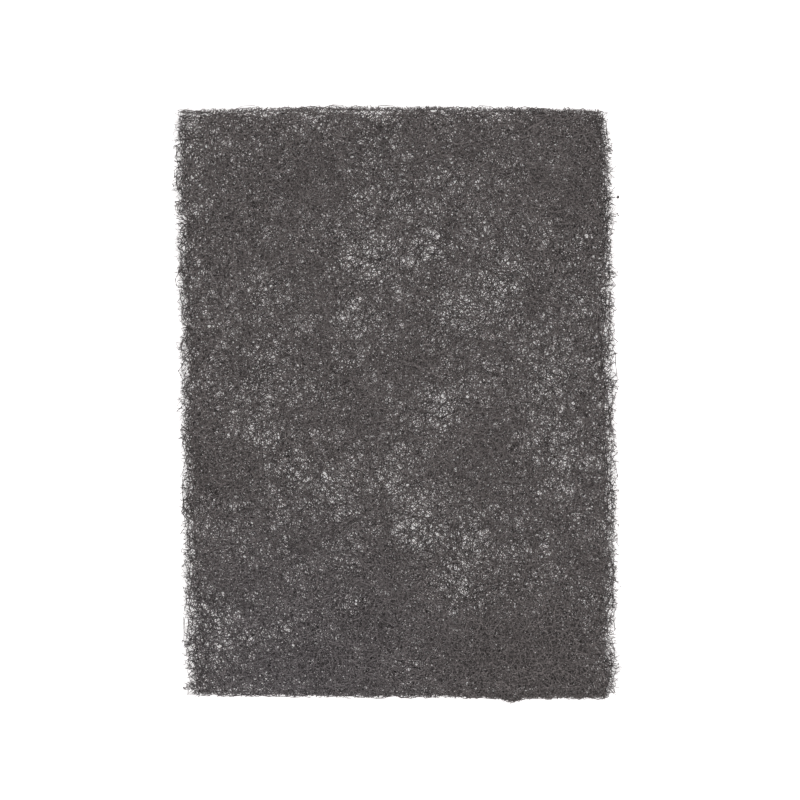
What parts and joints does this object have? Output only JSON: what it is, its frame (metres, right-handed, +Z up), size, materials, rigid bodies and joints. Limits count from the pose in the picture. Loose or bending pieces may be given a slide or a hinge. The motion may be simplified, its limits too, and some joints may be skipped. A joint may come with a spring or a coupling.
{
  "type": "non-woven hand pad",
  "caption": "Flat, lofty hand pad of bonded non-woven fibre with loose long sides, cut ends, thin see-through places and a flat underside, for rubbing down or cleaning surfaces by hand.",
  "frame": {"origin": "middle of the pad's bounding box, on its underside, where it rests", "axes": "+X across the pad, +Y along its length towards the upper end in the picture, +Z up out of its top"},
  "size_m": [0.171, 0.2262, 0.0056],
  "materials": {
    "fibre": "matt dark warm grey bonded synthetic fibre, with fine grit"
  },
  "bodies": {
    "root": {"hand_pad": "fibre"}
  },
  "joints": []
}
